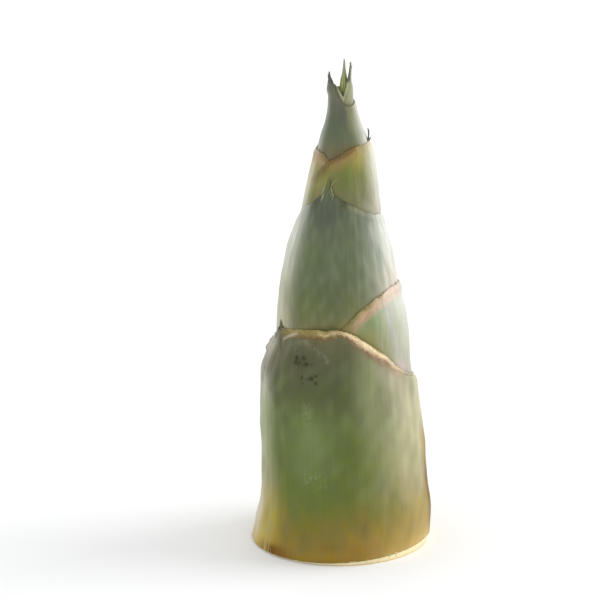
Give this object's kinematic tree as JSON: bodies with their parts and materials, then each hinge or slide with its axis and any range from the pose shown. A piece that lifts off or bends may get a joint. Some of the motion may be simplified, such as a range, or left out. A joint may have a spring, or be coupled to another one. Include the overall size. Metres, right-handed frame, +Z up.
{
  "type": "bamboo shoot",
  "caption": "Fresh bamboo shoot cut at the base, a cone of overlapping green and tan culm sheaths with small dry blades and a rolled spear leaf at the tip, standing on its flat cut end",
  "frame": {"origin": "middle of the flat cut base, on the surface that the shoot stands on", "axes": "+Z runs up the shoot to its tip, -Y is the front, where the two lowest free margins meet, and +X is to the right of it"},
  "size_m": [0.08, 0.0787, 0.217],
  "materials": {
    "culm": "moist pale cream cut flesh with fine fibres",
    "sheath_1": "satin fibrous leaf sheath, olive green turning ochre at the base, with a waxy bloom and a dry straw margin",
    "sheath_2": "satin fibrous leaf sheath, pale green under white bloom, with a dry pinkish margin",
    "sheath_3": "satin fibrous leaf sheath, deep green with a white bloom and a dark top edge",
    "sheath_4": "satin fibrous leaf sheath, yellow green with a dry orange brown margin",
    "sheath_5": "satin fibrous leaf sheath, grey green with a dark pointed blade",
    "sheath_6": "satin thin leaf sheath, pale green with a dark pointed blade",
    "spear_leaf": "satin young rolled leaf, light yellow green"
  },
  "bodies": {
    "root": {"culm": "culm", "sheath_1": "sheath_1", "sheath_2": "sheath_2", "sheath_3": "sheath_3", "sheath_4": "sheath_4", "sheath_5": "sheath_5", "sheath_6": "sheath_6", "spear_leaf": "spear_leaf"}
  },
  "joints": []
}
